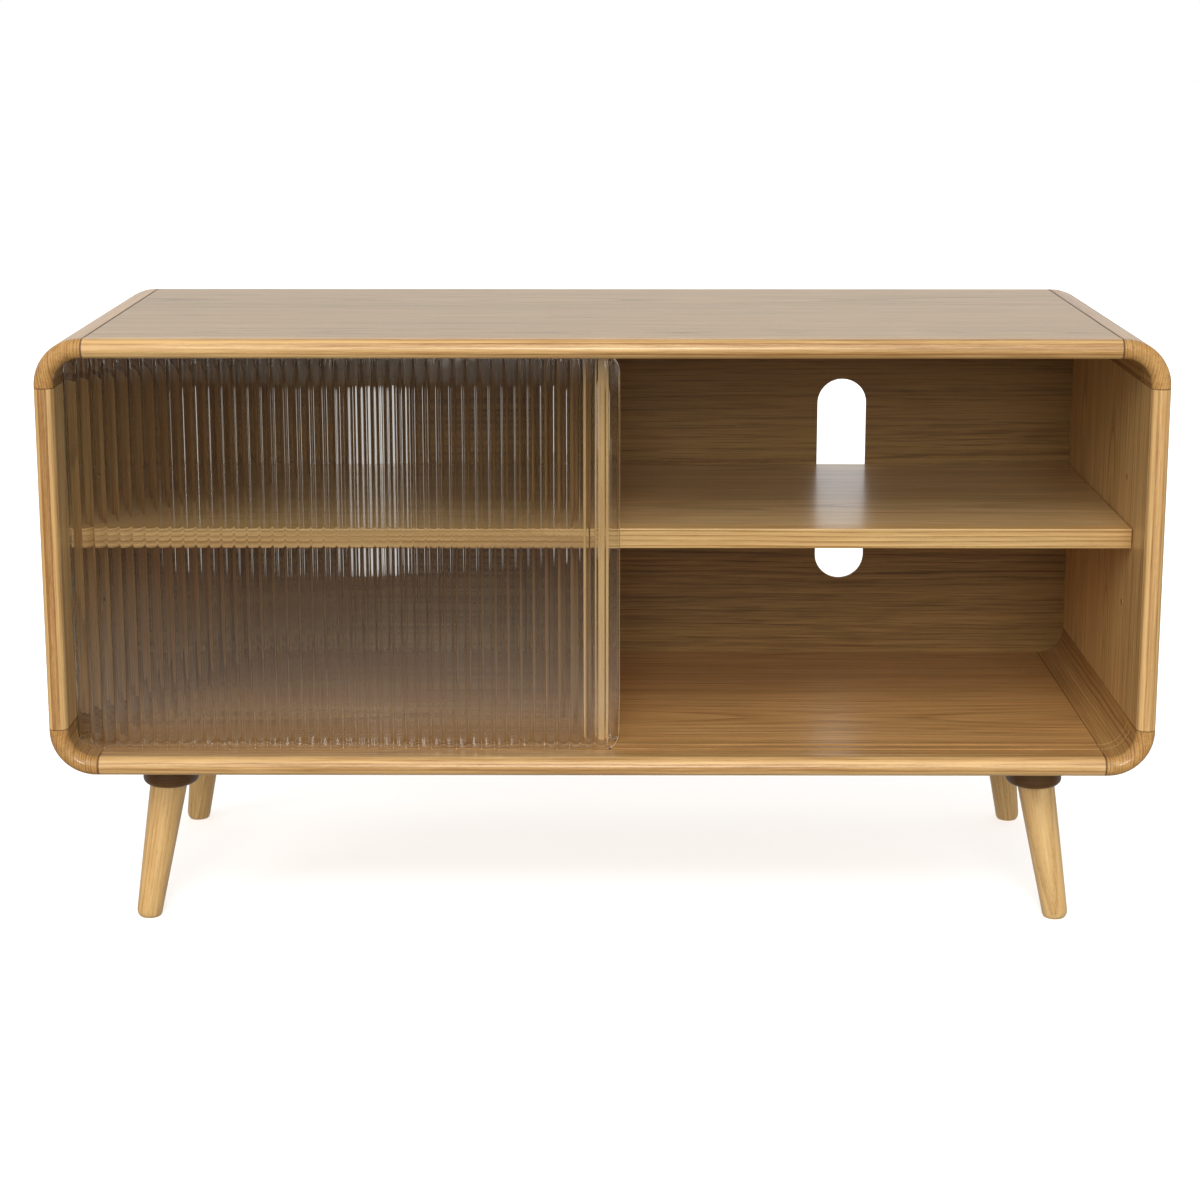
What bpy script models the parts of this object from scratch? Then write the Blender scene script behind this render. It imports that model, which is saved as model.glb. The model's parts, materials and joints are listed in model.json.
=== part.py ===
# Media cabinet: a round-cornered wooden carcass on four splayed legs, with a
# divider, two adjustable shelves, a slotted back panel and two sliding doors
# of reeded glass. Metres, +Z up; the origin is on the floor under the middle
# of the carcass, +X is to the right and -Y is the front.

import math

import bmesh
import bpy
from mathutils import Matrix, Vector

# ------------------------------------------------------------- dimensions
WIDTH = 1.200
DEPTH = 0.450
BODY_H = 0.479
LEG_H = 0.181                 # floor to the underside of the carcass
BOARD = 0.021                 # top, bottom and sides
CORNER_R = 0.050              # outer radius of a corner block
CORNER_LEG = 0.052            # corner block's size along each side
FILLET_R = CORNER_R - BOARD
LIPPING = 0.020               # depth of the solid front strips
NOSE = 0.0102                 # radius of the bullnosed front edge
GAP = 0.0003                  # glue line or running gap between pieces

BACK_T = 0.005
BACK_INSET = 0.0075           # from the boards' rear edges to the panel's front
RABBET = 0.008                # how far the back panel reaches into the boards
SLOT_W = 0.060
SLOT_H = 0.252
SLOT_X = 0.2955
SLOT_Z = LEG_H + 0.2425

DIVIDER_T = 0.018
INNER_FRONT = -0.1574         # front edge of divider and shelves
DADO = 0.004

SHELF_T = 0.022
SHELF_Z = LEG_H + 0.240       # underside
SHELF_GAP = 0.001
PIN_R = 0.0025
PIN_HOLE_R = 0.0027
PIN_OUT = 0.008
PIN_IN = 0.0085
PIN_HOLE_DEPTH = 0.009
PIN_Y = (-0.117, 0.185)
PIN_ROW = 0.071
PIN_Z = SHELF_Z + 0.001

GLASS_T = 0.005
DOOR_W = 0.594
DOOR_R = 0.025
DOOR_LOW = LEG_H + 0.0165
DOOR_HIGH = LEG_H + 0.463
TRACK_W = 0.0062
TRACK_Y = (-0.189, -0.1725)   # front and rear track
TRACK_LOW = 0.005             # depth of the bottom tracks
TRACK_HIGH = 0.011            # depth of the top tracks
DOOR_X = (-0.5746, -0.5774)   # left edges, front and rear door

COLLAR_R = 0.031
COLLAR_H = 0.032
LEG_TOP_R = 0.0205
LEG_END_R = 0.0138
LEG_FOOT = Vector((0.509, 0.167, 0.0))
LEG_HEAD = Vector((0.4857, 0.1437, LEG_H - COLLAR_H - GAP))
BOLT_R = 0.0039
BOLT_HOLE_R = 0.0042
INSERT_R = 0.0060

SPLINE_W = 0.016
SPLINE_T = 0.006

HX, HY = WIDTH / 2, DEPTH / 2
Z0, Z1 = LEG_H, LEG_H + BODY_H
IN_X = HX - BOARD
IN_Z0, IN_Z1 = Z0 + BOARD, Z1 - BOARD
BACK_Y = HY - BACK_INSET
BACK_OUT = BACK_Y + BACK_T


# ---------------------------------------------------------------- helpers
def clear_scene():
    for obj in list(bpy.data.objects):
        bpy.data.objects.remove(obj, do_unlink=True)
    for coll in list(bpy.data.collections):
        bpy.data.collections.remove(coll)


def collection(name):
    coll = bpy.data.collections.new(name)
    bpy.context.scene.collection.children.link(coll)
    return coll


def material(name, colour, roughness, metallic=0.0, transmission=0.0, ior=1.5):
    mat = bpy.data.materials.new(name)
    mat.use_nodes = True
    shader = mat.node_tree.nodes["Principled BSDF"]
    shader.inputs["Base Color"].default_value = (*colour, 1.0)
    shader.inputs["Roughness"].default_value = roughness
    shader.inputs["Metallic"].default_value = metallic
    shader.inputs["Transmission Weight"].default_value = transmission
    shader.inputs["IOR"].default_value = ior
    return mat


def new_object(name, mesh, coll, mat=None):
    obj = bpy.data.objects.new(name, mesh)
    coll.objects.link(obj)
    if mat:
        mesh.materials.clear()
        mesh.materials.append(mat.copy() if mat.users else mat)
        mesh.materials[0].name = "mat_" + name
    return obj


def box_mesh(name, size):
    bm = bmesh.new()
    bmesh.ops.create_cube(bm, size=1.0)
    bmesh.ops.scale(bm, vec=size, verts=bm.verts)
    mesh = bpy.data.meshes.new(name)
    bm.to_mesh(mesh)
    bm.free()
    return mesh


def box(name, low, high, coll, mat=None):
    low, high = Vector(low), Vector(high)
    obj = new_object(name, box_mesh(name, high - low), coll, mat)
    obj.location = (low + high) / 2
    return obj


def rod_mesh(name, radius, length, sides, top_radius=None):
    bm = bmesh.new()
    bmesh.ops.create_cone(
        bm, cap_ends=True, cap_tris=False, segments=sides, radius1=radius,
        radius2=radius if top_radius is None else top_radius, depth=length)
    mesh = bpy.data.meshes.new(name)
    bm.to_mesh(mesh)
    bm.free()
    return mesh


def along(start, direction):
    """Matrix whose +Z is the direction, at the start point."""
    return (Matrix.Translation(start)
            @ Vector(direction).to_track_quat("Z", "Y").to_matrix().to_4x4())


def rod(name, start, end, radius, coll, mat=None, sides=16):
    start, end = Vector(start), Vector(end)
    length = (end - start).length
    obj = new_object(name, rod_mesh(name, radius, length, sides), coll, mat)
    obj.matrix_world = along((start + end) / 2, end - start)
    return obj


def lathe(name, profile, coll, mat=None, sides=24):
    """Turned piece: the profile is (radius, height), from top to bottom."""
    mesh = bpy.data.meshes.new(name)
    bm = bmesh.new()
    points = [bm.verts.new((r, 0.0, z)) for r, z in profile]
    for a, b in zip(points, points[1:]):
        bm.edges.new((a, b))
    bm.to_mesh(mesh)
    bm.free()
    obj = new_object(name, mesh, coll, mat)
    screw = obj.modifiers.new("turn", "SCREW")
    screw.axis = "Z"
    screw.steps = screw.render_steps = sides
    screw.use_merge_vertices = True
    screw.merge_threshold = 0.00001
    return obj


def arc(cx, cz, radius, start, end, steps):
    return [(cx + radius * math.cos(math.radians(start + (end - start) * i / steps)),
             cz + radius * math.sin(math.radians(start + (end - start) * i / steps)))
            for i in range(steps + 1)]


def rounded(x0, z0, x1, z1, radius, steps=8):
    return (arc(x1 - radius, z1 - radius, radius, 0, 90, steps)
            + arc(x0 + radius, z1 - radius, radius, 90, 180, steps)
            + arc(x0 + radius, z0 + radius, radius, 180, 270, steps)
            + arc(x1 - radius, z0 + radius, radius, 270, 360, steps))


def plate(name, outlines, y0, y1, coll, mat=None):
    """Flat piece from closed outlines in XZ, standing between y0 and y1."""
    curve = bpy.data.curves.new(name + "_outline", "CURVE")
    curve.dimensions = "2D"
    curve.fill_mode = "BOTH"
    curve.extrude = (y1 - y0) / 2
    for outline in outlines:
        spline = curve.splines.new("POLY")
        spline.points.add(len(outline) - 1)
        for point, (x, z) in zip(spline.points, outline):
            point.co = (x, z, 0.0, 1.0)
        spline.use_cyclic_u = True
    guide = bpy.data.objects.new(name + "_outline", curve)
    coll.objects.link(guide)
    guide.matrix_world = (Matrix.Translation((0, (y0 + y1) / 2, 0))
                          @ Matrix.Rotation(math.radians(90), 4, "X"))
    bpy.context.view_layer.update()
    graph = bpy.context.evaluated_depsgraph_get()
    mesh = bpy.data.meshes.new_from_object(guide.evaluated_get(graph))
    mesh.name = name
    mesh.transform(guide.matrix_world)
    bpy.data.objects.remove(guide, do_unlink=True)
    bpy.data.curves.remove(curve)
    bm = bmesh.new()
    bm.from_mesh(mesh)
    bmesh.ops.remove_doubles(bm, verts=bm.verts, dist=0.00001)
    bmesh.ops.dissolve_limit(bm, angle_limit=0.001, verts=bm.verts, edges=bm.edges)
    bmesh.ops.recalc_face_normals(bm, faces=bm.faces)
    bm.to_mesh(mesh)
    bm.free()
    return new_object(name, mesh, coll, mat)


def nose(obj, pick, width=NOSE, segments=5):
    """Rounds the edges for which pick(a, b) is true, in world coordinates."""
    bpy.context.view_layer.update()
    mesh, world = obj.data, obj.matrix_world
    weights = mesh.attributes.new("bevel_weight_edge", "FLOAT", "EDGE")
    for edge in mesh.edges:
        a, b = (world @ mesh.vertices[i].co for i in edge.vertices)
        weights.data[edge.index].value = 1.0 if pick(a, b) else 0.0
    bevel = obj.modifiers.new("nose", "BEVEL")
    bevel.limit_method = "WEIGHT"
    bevel.offset_type = "OFFSET"
    bevel.width = width
    bevel.segments = segments
    return bevel


def cut(obj, *cutters):
    for cutter in cutters:
        boolean = obj.modifiers.new("cut_" + cutter.name, "BOOLEAN")
        boolean.operation = "DIFFERENCE"
        boolean.solver = "EXACT"
        boolean.object = cutter


def hide(obj):
    obj.hide_render = True
    obj.display_type = "WIRE"
    return obj


def smooth(obj, angle=35.0):
    obj.data.shade_smooth()
    obj.data.set_sharp_from_angle(angle=math.radians(angle))


# ------------------------------------------------------------- the scene
clear_scene()
parts = collection("media_cabinet")
cutters = collection("cutters")

VENEER = material("veneer", (0.46, 0.29, 0.14), 0.42)
SOLID = material("solid_wood", (0.55, 0.34, 0.15), 0.38)
BLOCK = material("corner_wood", (0.50, 0.27, 0.10), 0.36)
BACK = material("back_veneer", (0.36, 0.22, 0.11), 0.50)
LEGWOOD = material("leg_wood", (0.58, 0.38, 0.18), 0.42)
HIDDEN = material("hidden_wood", (0.55, 0.42, 0.26), 0.70)
STEEL = material("zinc_steel", (0.62, 0.61, 0.58), 0.35, 1.0)
BRASS = material("brass", (0.72, 0.52, 0.24), 0.30, 1.0)
GLASS = material("glass", (0.97, 0.95, 0.91), 0.03, 0.0, 1.0, 1.5)


# --------------------------------------------------------------- cutters
rabbet_cutter = hide(plate(
    "rabbet_cutter",
    [rounded(-IN_X - RABBET - GAP, IN_Z0 - RABBET - GAP,
             IN_X + RABBET + GAP, IN_Z1 + RABBET + GAP, FILLET_R + RABBET + GAP)],
    BACK_Y - GAP, HY + 0.010, cutters))

track_cutters = []
for side, y in zip(("front", "rear"), TRACK_Y):
    track_cutters.append(hide(plate(
        "track_cutter_" + side,
        [rounded(-IN_X - 0.0004, IN_Z0 - TRACK_LOW,
                 IN_X + 0.0004, IN_Z1 + TRACK_HIGH, DOOR_R + 0.002)],
        y - TRACK_W / 2, y + TRACK_W / 2, cutters)))

dado_cutter = hide(box(
    "dado_cutter",
    (-DIVIDER_T / 2 - GAP, INNER_FRONT - GAP, IN_Z0 - DADO - GAP),
    (DIVIDER_T / 2 + GAP, BACK_Y, IN_Z1 + DADO + GAP), cutters))

# A tongue joins each panel to each corner block. ends gives the joint line.
JOINTS = {}
for sx, side in ((-1, "left"), (1, "right")):
    for zone, z_board, z_joint in (
            ("top", Z1 - BOARD / 2, Z1 - CORNER_LEG),
            ("bottom", Z0 + BOARD / 2, Z0 + CORNER_LEG)):
        JOINTS[f"{zone}_{side}_flat"] = (
            sx * (HX - CORNER_LEG), z_board, SPLINE_W, SPLINE_T, -0.160, 0.205)
        JOINTS[f"{zone}_{side}_upright"] = (
            sx * (HX - BOARD / 2), z_joint, SPLINE_T, SPLINE_W, -0.190, 0.205)

spline_cutters = {}
for name, (x, z, wide, tall, y0, y1) in JOINTS.items():
    grow = 0.0003
    spline_cutters[name] = hide(box(
        "tongue_cutter_" + name,
        (x - wide / 2 - grow, y0 - grow, z - tall / 2 - grow),
        (x + wide / 2 + grow, y1 + grow, z + tall / 2 + grow), cutters))
    box("tongue_" + name, (x - wide / 2, y0, z - tall / 2),
        (x + wide / 2, y1, z + tall / 2), parts, HIDDEN)


# --------------------------------------------------------------- carcass
FLAT_X = HX - CORNER_LEG - GAP
UP_Z0, UP_Z1 = Z0 + CORNER_LEG + GAP, Z1 - CORNER_LEG - GAP
STRIP_Y = -HY + LIPPING


def is_front_long(axis):
    """Picks the two front edges of a strip that run along the axis."""
    def pick(a, b):
        level = abs(a.y + HY) < 1e-5 and abs(b.y + HY) < 1e-5
        return level and abs((b - a)[axis]) > 0.05
    return pick


top = box("top_panel", (-FLAT_X, STRIP_Y + GAP, IN_Z1), (FLAT_X, HY, Z1), parts, VENEER)
cut(top, *track_cutters, rabbet_cutter, dado_cutter,
    spline_cutters["top_left_flat"], spline_cutters["top_right_flat"])

bottom = box("bottom_panel", (-FLAT_X, STRIP_Y + GAP, Z0), (FLAT_X, HY, IN_Z0), parts, VENEER)
cut(bottom, *track_cutters, rabbet_cutter, dado_cutter,
    spline_cutters["bottom_left_flat"], spline_cutters["bottom_right_flat"])

strip = box("lipping_top", (-FLAT_X, -HY, IN_Z1), (FLAT_X, STRIP_Y, Z1), parts, SOLID)
nose(strip, is_front_long(0))
strip = box("lipping_bottom", (-FLAT_X, -HY, Z0), (FLAT_X, STRIP_Y, IN_Z0), parts, SOLID)
nose(strip, is_front_long(0))

side_panels = {}
for sx, side in ((-1, "left"), (1, "right")):
    x0, x1 = sorted((sx * HX, sx * IN_X))
    strip = box("lipping_" + side, (x0, -HY, UP_Z0), (x1, STRIP_Y, UP_Z1), parts, SOLID)
    nose(strip, is_front_long(2))
    panel = box("side_panel_" + side, (x0, STRIP_Y + GAP, UP_Z0), (x1, HY, UP_Z1),
                parts, VENEER)
    cut(panel, rabbet_cutter, spline_cutters[f"top_{side}_upright"],
        spline_cutters[f"bottom_{side}_upright"])
    side_panels[sx] = panel

# Corner blocks: a quarter ring with two short straight ends.
for sx, side in ((-1, "left"), (1, "right")):
    for sz, zone in ((1, "top"), (-1, "bottom")):
        cz = Z1 - CORNER_R if sz > 0 else Z0 + CORNER_R
        cx = sx * (HX - CORNER_R)
        start = {(1, 1): 0, (-1, 1): 180, (-1, -1): 180, (1, -1): 360}[(sx, sz)]
        end = {(1, 1): 90, (-1, 1): 90, (-1, -1): 270, (1, -1): 270}[(sx, sz)]
        end_z = Z1 - CORNER_LEG if sz > 0 else Z0 + CORNER_LEG
        end_x = sx * (HX - CORNER_LEG)
        outer = arc(cx, cz, CORNER_R, start, end, 10)
        inner = arc(cx, cz, FILLET_R, end, start, 10)
        outline = ([(sx * HX, end_z)] + outer + [(end_x, Z1 if sz > 0 else Z0)]
                   + [(end_x, IN_Z1 if sz > 0 else IN_Z0)] + inner
                   + [(sx * IN_X, end_z)])
        block = plate(f"corner_{zone}_{side}", [outline], -HY, HY, parts, BLOCK)

        def pick(a, b, end_x=end_x, end_z=end_z):
            if abs(a.y + HY) > 1e-5 or abs(b.y + HY) > 1e-5:
                return False
            across = (abs(a.x - end_x) < 1e-5 and abs(b.x - end_x) < 1e-5
                      or abs(a.z - end_z) < 1e-5 and abs(b.z - end_z) < 1e-5)
            return not across
        nose(block, pick)
        cut(block, *track_cutters, rabbet_cutter,
            spline_cutters[f"{zone}_{side}_flat"],
            spline_cutters[f"{zone}_{side}_upright"])
        smooth(block)

# --------------------------------------------------------------- divider
DIV_Z0, DIV_Z1 = IN_Z0 - DADO, IN_Z1 + DADO
divider = box("divider", (-DIVIDER_T / 2, INNER_FRONT + LIPPING + GAP, DIV_Z0),
              (DIVIDER_T / 2, BACK_Y - GAP, DIV_Z1), parts, VENEER)
strip = box("divider_lipping", (-DIVIDER_T / 2, INNER_FRONT, DIV_Z0),
            (DIVIDER_T / 2, INNER_FRONT + LIPPING, DIV_Z1), parts, SOLID)

# ------------------------------------------------- back panel and screws
screw_places = [(sx * (IN_X + RABBET / 2), z) for sx in (-1, 1) for z in (0.305, 0.537)]
screw_places += [(0.0, 0.305), (0.0, 0.537)]
slots = [rounded(s * SLOT_X - SLOT_W / 2, SLOT_Z - SLOT_H / 2,
                 s * SLOT_X + SLOT_W / 2, SLOT_Z + SLOT_H / 2, SLOT_W / 2, 8)
         for s in (-1, 1)]
back = plate("back_panel",
             [rounded(-IN_X - RABBET, IN_Z0 - RABBET, IN_X + RABBET, IN_Z1 + RABBET,
                      FILLET_R + RABBET)] + slots,
             BACK_Y, BACK_OUT, parts, BACK)
for number, (x, z) in enumerate(screw_places, 1):
    hole = hide(rod(f"screw_hole_{number}", (x, BACK_Y - 0.014, z), (x, HY + 0.005, z),
                    0.0018, cutters, sides=10))
    cut(back, hole)
    cut(divider if abs(x) < 0.1 else side_panels[1 if x > 0 else -1], hole)
    screw = lathe(f"back_screw_{number}",
                  [(0.0, 0.0020), (0.0016, 0.0019), (0.0028, 0.0014), (0.0034, 0.0005),
                   (0.0034, 0.0), (0.0014, 0.0), (0.0014, -0.0150), (0.0, -0.0172)],
                  parts, STEEL, 10)
    screw.matrix_world = along((x, BACK_OUT + GAP, z), (0, 1, 0))

# ------------------------------------------------- shelf pins and holes
WALLS = {
    "left_outer": (-IN_X, 1, side_panels[-1]),
    "left_inner": (-DIVIDER_T / 2, -1, divider),
    "right_inner": (DIVIDER_T / 2, 1, divider),
    "right_outer": (IN_X, -1, side_panels[1]),
}
for wall, (x, inward, owner) in WALLS.items():
    depth = PIN_HOLE_DEPTH if owner is not divider else 0.0075
    for y, end in zip(PIN_Y, ("front", "rear")):
        for row in (-1, 0, 1):
            z = PIN_Z + row * PIN_ROW
            hole = hide(rod(f"pin_hole_{wall}_{end}_{row + 2}", (x - inward * depth, y, z),
                            (x + inward * 0.004, y, z), PIN_HOLE_R, cutters, sides=10))
            cut(owner, hole)
        inside = PIN_IN if owner is not divider else 0.007
        pin = lathe(f"shelf_pin_{wall}_{end}",
                    [(0.0, PIN_OUT), (PIN_R - 0.0005, PIN_OUT), (PIN_R - 0.0001, PIN_OUT - 0.0005),
                     (PIN_R - 0.0001, -inside + 0.0005), (PIN_R - 0.0006, -inside), (0.0, -inside)],
                    parts, BRASS, 10)
        pin.matrix_world = along((x, y, PIN_Z), (inward, 0, 0))

# --------------------------------------------------------------- shelves
for sx, side in ((-1, "left"), (1, "right")):
    x0, x1 = sorted((sx * (DIVIDER_T / 2 + SHELF_GAP), sx * (IN_X - SHELF_GAP)))
    shelf = box("shelf_" + side, (x0, INNER_FRONT + LIPPING + GAP, SHELF_Z),
                (x1, BACK_Y - 0.0015, SHELF_Z + SHELF_T), parts, VENEER)
    box(f"shelf_{side}_lipping", (x0, INNER_FRONT, SHELF_Z),
        (x1, INNER_FRONT + LIPPING, SHELF_Z + SHELF_T), parts, SOLID)
    for wall, (x, inward, owner) in WALLS.items():
        if not wall.startswith(side):
            continue
        for y, end in zip(PIN_Y, ("front", "rear")):
            low, high = sorted((x, x + inward * (PIN_OUT + 0.0015)))
            groove = hide(box(f"pin_groove_{wall}_{end}",
                              (low, y - PIN_R - 0.0003, SHELF_Z - 0.005),
                              (high, y + PIN_R + 0.0003, PIN_Z + PIN_R + 0.0002), cutters))
            cut(shelf, groove)

# ----------------------------------------------------------- glass doors
for side, y, x in zip(("front", "rear"), TRACK_Y, DOOR_X):
    door = plate("glass_door_" + side, [rounded(x, DOOR_LOW, x + DOOR_W, DOOR_HIGH, DOOR_R)],
                 y - GLASS_T / 2, y + GLASS_T / 2, parts, GLASS)
    smooth(door)

# ------------------------------------------------------ legs and collars
floor_cutter = hide(box("floor_cutter", (-0.7, -0.4, -0.060), (0.7, 0.4, 0.0), cutters))
head_cutter = hide(box("head_cutter", (-0.7, -0.4, LEG_HEAD.z), (0.7, 0.4, LEG_HEAD.z + 0.060),
                       cutters))
LEG_LEN = (LEG_HEAD - LEG_FOOT).length


def leg_profile():
    """Radius along the leg's axis, from above its head to below its foot."""
    over = 0.012
    slope = (LEG_TOP_R - LEG_END_R) / LEG_LEN
    top_r = LEG_TOP_R + slope * over
    end = -0.0028
    r_end, round_r = LEG_END_R, 0.0085
    points = [(0.0, LEG_LEN + over), (top_r, LEG_LEN + over)]
    points.append((LEG_END_R + slope * (end + round_r), end + round_r))
    for i in range(1, 5):
        angle = math.radians(90 * i / 4)
        points.append((r_end - round_r + round_r * math.cos(angle),
                       end + round_r - round_r * math.sin(angle)))
    points.append((0.0, end))
    return points


for sx, side in ((-1, "left"), (1, "right")):
    for sy, end in ((-1, "front"), (1, "rear")):
        flip = Vector((sx, sy, 1.0))
        foot, head = LEG_FOOT * flip, LEG_HEAD * flip
        axis = (head - foot).normalized()
        name = f"{end}_{side}"
        leg = lathe("leg_" + name, leg_profile(), parts, LEGWOOD, 24)
        leg.matrix_world = along(foot, axis)
        bolt_hole = hide(rod("bolt_hole_" + name, head - axis * 0.024, head + axis * 0.020,
                             BOLT_HOLE_R, cutters, sides=12))
        cut(leg, floor_cutter, head_cutter, bolt_hole)
        smooth(leg, 40)

        rod("hanger_bolt_" + name, head - axis * 0.023, head + axis * 0.019,
            BOLT_R, parts, STEEL, 12)

        centre = head + axis * (COLLAR_H / 2 / axis.z)
        collar = lathe("leg_collar_" + name,
                       [(0.0, COLLAR_H - GAP), (COLLAR_R, COLLAR_H - GAP)]
                       + [(COLLAR_R - 0.007 + 0.007 * math.cos(math.radians(a)),
                           0.007 - 0.007 * math.sin(math.radians(a)))
                          for a in (0, 22.5, 45, 67.5, 90)] + [(0.0, 0.0)],
                       parts, LEGWOOD, 28)
        collar.location = (centre.x, centre.y, Z0 - COLLAR_H)
        insert_hole = hide(rod("insert_hole_" + name, head - axis * 0.010, head + axis * 0.0215,
                               INSERT_R + GAP, cutters, sides=12))
        cut(collar, insert_hole)
        smooth(collar, 40)

        insert = rod("threaded_insert_" + name, head + axis * 0.0022, head + axis * 0.0205,
                     INSERT_R, parts, BRASS, 12)
        bore = hide(rod("insert_bore_" + name, head - axis * 0.010, head + axis * 0.030,
                        BOLT_HOLE_R, cutters, sides=12))
        cut(insert, bore)
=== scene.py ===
# Media cabinet, visual model: finer meshes and procedural finishes around the
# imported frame. Metres, +Z up, -Y is the front, the origin is on the floor
# under the middle of the carcass.

import json
import math

import bmesh
import bpy
from mathutils import Matrix, Vector

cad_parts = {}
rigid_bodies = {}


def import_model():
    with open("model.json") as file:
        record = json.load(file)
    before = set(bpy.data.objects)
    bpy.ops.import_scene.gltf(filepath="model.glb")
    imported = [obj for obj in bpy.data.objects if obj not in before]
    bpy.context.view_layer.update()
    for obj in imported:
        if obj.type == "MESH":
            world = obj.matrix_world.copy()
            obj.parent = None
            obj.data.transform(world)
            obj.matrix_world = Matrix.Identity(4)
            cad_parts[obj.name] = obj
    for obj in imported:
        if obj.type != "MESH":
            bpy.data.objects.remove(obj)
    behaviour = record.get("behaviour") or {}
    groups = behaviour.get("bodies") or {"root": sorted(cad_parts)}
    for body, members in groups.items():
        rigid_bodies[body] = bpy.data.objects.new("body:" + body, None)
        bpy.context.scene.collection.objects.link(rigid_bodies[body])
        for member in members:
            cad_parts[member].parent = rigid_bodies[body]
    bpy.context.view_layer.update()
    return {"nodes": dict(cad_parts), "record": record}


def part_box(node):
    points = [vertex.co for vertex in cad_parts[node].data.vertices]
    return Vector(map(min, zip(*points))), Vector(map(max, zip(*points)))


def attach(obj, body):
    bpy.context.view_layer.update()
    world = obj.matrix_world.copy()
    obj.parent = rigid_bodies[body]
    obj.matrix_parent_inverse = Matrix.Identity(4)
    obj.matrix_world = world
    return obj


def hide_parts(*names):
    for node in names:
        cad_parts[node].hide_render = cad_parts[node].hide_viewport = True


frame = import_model()
BODY_OF = {node: body for body, nodes in frame["record"]["behaviour"]["bodies"].items()
           for node in nodes}
CAD = frame["nodes"]

# ------------------------------------------------------------- dimensions
BOARD = 0.021
FILLET_R = 0.029
CORNER_R = 0.050
CORNER_LEG = 0.052
LIPPING = 0.020
NOSE = 0.0102
GAP = 0.0003
RABBET = 0.008
DADO = 0.004
BACK_T = 0.005
PIN_ROW = 0.071
PIN_HOLE_R = 0.0027
TRACK_W = 0.0062
TRACK_LOW = 0.005
TRACK_HIGH = 0.011
DOOR_R = 0.025
REEDS = 43
SPLINE_W = 0.016
SPLINE_T = 0.006

low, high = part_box("top_panel")
FLAT_X, Z1, HY = high.x, high.z, high.y
Z0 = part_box("bottom_panel")[0].z
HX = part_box("side_panel_right")[1].x
IN_X = HX - BOARD
IN_Z0, IN_Z1 = Z0 + BOARD, Z1 - BOARD
UP_Z0, UP_Z1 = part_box("lipping_left")[0].z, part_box("lipping_left")[1].z
STRIP_Y = -HY + LIPPING
BACK_Y, BACK_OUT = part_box("back_panel")[0].y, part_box("back_panel")[1].y
INNER_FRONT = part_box("divider_lipping")[0].y
DIV_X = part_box("divider")[1].x
DIV_Z0, DIV_Z1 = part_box("divider")[0].z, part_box("divider")[1].z
DOORS = {side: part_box("glass_door_" + side) for side in ("front", "rear")}
TRACK_Y = {side: (a.y + b.y) / 2 for side, (a, b) in DOORS.items()}

# ------------------------------------------------------------ collections
scene = bpy.context.scene
cabinet = bpy.data.collections.new("media_cabinet")
scene.collection.children.link(cabinet)
cutter_objects = []


# ---------------------------------------------------------- mesh building
def link(name, mesh):
    obj = bpy.data.objects.new(name, mesh)
    cabinet.objects.link(obj)
    return obj


def mesh_from(name, bm):
    bmesh.ops.recalc_face_normals(bm, faces=bm.faces)
    mesh = bpy.data.meshes.new(name)
    bm.to_mesh(mesh)
    bm.free()
    return mesh


def arc(cx, cz, radius, start, end, steps):
    return [(cx + radius * math.cos(math.radians(start + (end - start) * i / steps)),
             cz + radius * math.sin(math.radians(start + (end - start) * i / steps)))
            for i in range(steps + 1)]


def rounded(x0, z0, x1, z1, radius, steps=24):
    return (arc(x1 - radius, z1 - radius, radius, 0, 90, steps)
            + arc(x0 + radius, z1 - radius, radius, 90, 180, steps)
            + arc(x0 + radius, z0 + radius, radius, 180, 270, steps)
            + arc(x1 - radius, z0 + radius, radius, 270, 360, steps))


def box_bm(low, high):
    bm = bmesh.new()
    bmesh.ops.create_cube(bm, size=1.0)
    low, high = Vector(low), Vector(high)
    bmesh.ops.scale(bm, vec=high - low, verts=bm.verts)
    bmesh.ops.translate(bm, vec=(low + high) / 2, verts=bm.verts)
    return bm


def bevel(bm, pick, width, segments=3):
    """Rounds the edges for which pick(a, b) is true."""
    edges = [e for e in bm.edges if pick(e.verts[0].co, e.verts[1].co)]
    bmesh.ops.bevel(bm, geom=edges, offset=width, offset_type="OFFSET",
                    segments=segments, profile=0.5, affect="EDGES",
                    clamp_overlap=True)


def board(name, low, high, eased=None, width=0.0006, segments=3):
    """A board whose picked edges are eased."""
    bm = box_bm(low, high)
    if eased:
        bevel(bm, eased, width, segments)
    return link(name, mesh_from(name, bm))


def prism(name, outline, y0, y1):
    """A closed XZ outline, extruded along Y."""
    bm = bmesh.new()
    front = [bm.verts.new((x, y0, z)) for x, z in outline]
    rear = [bm.verts.new((x, y1, z)) for x, z in outline]
    n = len(outline)
    bm.faces.new(front)
    bm.faces.new(rear[::-1])
    for i in range(n):
        bm.faces.new((front[i], front[(i + 1) % n], rear[(i + 1) % n], rear[i]))
    bmesh.ops.remove_doubles(bm, verts=bm.verts, dist=1e-6)
    return link(name, mesh_from(name, bm))


def sweep(name, profile, frames):
    """A closed profile carried along a list of placements."""
    bm = bmesh.new()
    rings = [[bm.verts.new(place(u, v)) for u, v in profile] for place in frames]
    n = len(profile)
    for a, b in zip(rings, rings[1:]):
        for i in range(n):
            j = (i + 1) % n
            bm.faces.new((a[i], a[j], b[j], b[i]))
    bm.faces.new(rings[0][::-1])
    bm.faces.new(rings[-1])
    return link(name, mesh_from(name, bm))


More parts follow.
